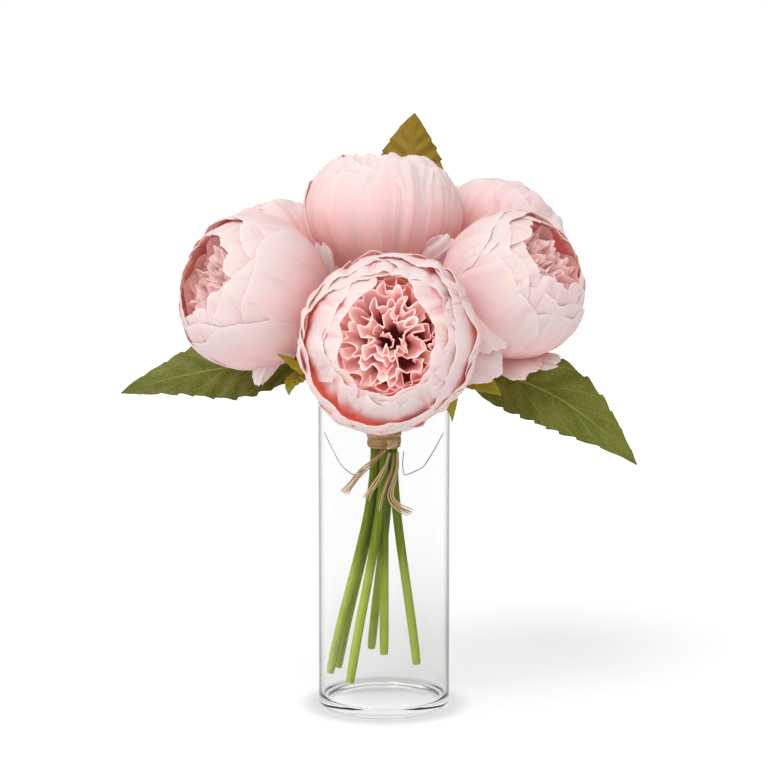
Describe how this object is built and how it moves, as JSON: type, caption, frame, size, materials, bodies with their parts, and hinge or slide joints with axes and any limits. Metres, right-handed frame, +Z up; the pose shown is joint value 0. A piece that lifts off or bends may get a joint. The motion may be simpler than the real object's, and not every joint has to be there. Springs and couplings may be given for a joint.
{
  "type": "peony bouquet in a glass vase",
  "caption": "Tied bunch of pink double peonies with leaves, standing in a clear cylindrical glass vase with a thick floor.",
  "frame": {"origin": "centre of the vase's underside", "axes": "+Z up along the vase, -Y towards the front of the bouquet"},
  "size_m": [0.3126, 0.2351, 0.3588],
  "materials": {
    "clear_glass": "gloss",
    "petal_pink": "satin",
    "ruffle_coral": "matte",
    "stem_green": "satin",
    "leaf_green": "satin",
    "raffia_tan": "matte"
  },
  "bodies": {
    "root": {"back_left_core": "ruffle_coral", "back_left_petal_1": "petal_pink", "back_left_petal_2": "petal_pink", "back_left_petal_3": "petal_pink", "back_left_petal_4": "petal_pink", "back_left_petal_5": "petal_pink", "back_right_core": "ruffle_coral", "back_right_petal_1": "petal_pink", "back_right_petal_2": "petal_pink", "back_right_petal_3": "petal_pink", "back_right_petal_4": "petal_pink", "back_right_petal_5": "petal_pink", "front_core": "ruffle_coral", "front_petal_1": "petal_pink", "front_petal_2": "petal_pink", "front_petal_3": "petal_pink", "front_petal_4": "petal_pink", "front_petal_5": "petal_pink", "leaf_back_left": "leaf_green", "leaf_back_right": "leaf_green", "leaf_between": "leaf_green", "leaf_front_low": "leaf_green", "leaf_left": "leaf_green", "leaf_left_low": "leaf_green", "leaf_right": "leaf_green", "leaf_right_low": "leaf_green", "leaf_top": "leaf_green", "left_core": "ruffle_coral", "left_petal_1": "petal_pink", "left_petal_2": "petal_pink", "left_petal_3": "petal_pink", "left_petal_4": "petal_pink", "left_petal_5": "petal_pink", "raffia_fibre_left": "raffia_tan", "raffia_fibre_right": "raffia_tan", "raffia_knot": "raffia_tan", "raffia_tail_1": "raffia_tan", "raffia_tail_2": "raffia_tan", "raffia_tail_3": "raffia_tan", "raffia_tail_4": "raffia_tan", "raffia_wrap": "raffia_tan", "right_core": "ruffle_coral", "right_petal_1": "petal_pink", "right_petal_2": "petal_pink", "right_petal_3": "petal_pink", "right_petal_4": "petal_pink", "right_petal_5": "petal_pink", "stem_back_left": "stem_green", "stem_back_right": "stem_green", "stem_front": "stem_green", "stem_left": "stem_green", "stem_right": "stem_green", "stem_top": "stem_green", "top_core": "ruffle_coral", "top_petal_1": "petal_pink", "top_petal_2": "petal_pink", "top_petal_3": "petal_pink", "top_petal_4": "petal_pink", "top_petal_5": "petal_pink", "vase": "clear_glass"}
  },
  "joints": []
}
